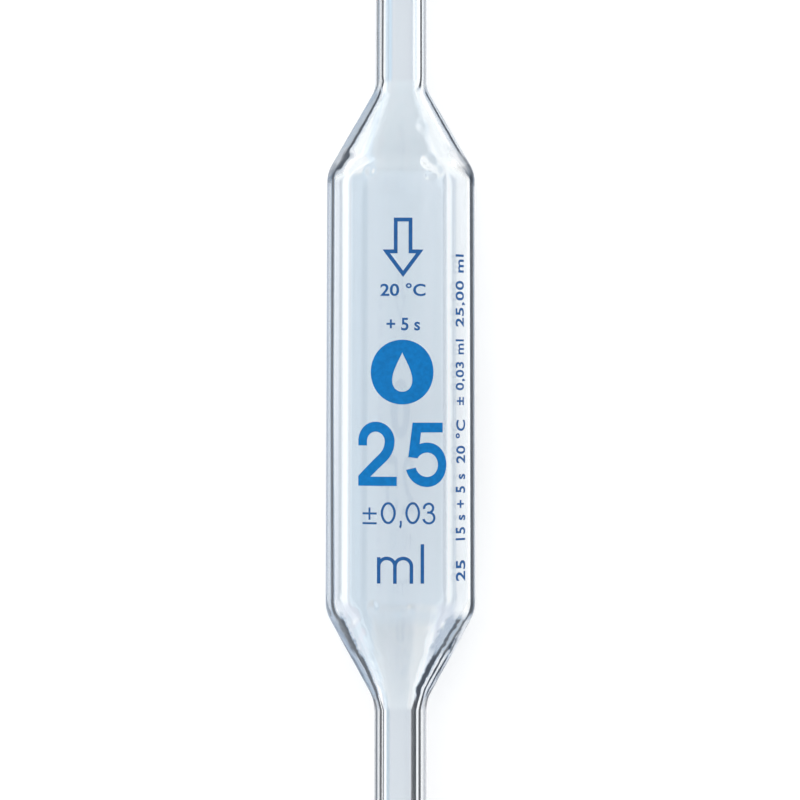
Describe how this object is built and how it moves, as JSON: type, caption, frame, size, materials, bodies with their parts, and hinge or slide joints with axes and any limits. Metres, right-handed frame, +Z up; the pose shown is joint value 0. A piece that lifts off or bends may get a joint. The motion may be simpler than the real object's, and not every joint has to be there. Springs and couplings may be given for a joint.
{
  "type": "bulb pipette",
  "caption": "Clear glass one-mark bulb pipette: suction tube, cylindrical bulb and delivery tube drawn out to a fine jet, for measuring one volume of liquid.",
  "frame": {"origin": "on the bench, under the middle of the pipette's length, where it lies on its bulb", "axes": "+Y along the pipette from the jet to the suction end, +Z up from the bench, through the printed side"},
  "size_m": [0.021, 0.5206, 0.0211],
  "materials": {
    "clear_glass": "clear blown glass, fire-polished",
    "blue_enamel": "fired-on enamel print"
  },
  "bodies": {
    "root": {"glass_pipette": "clear_glass"}
  },
  "joints": []
}
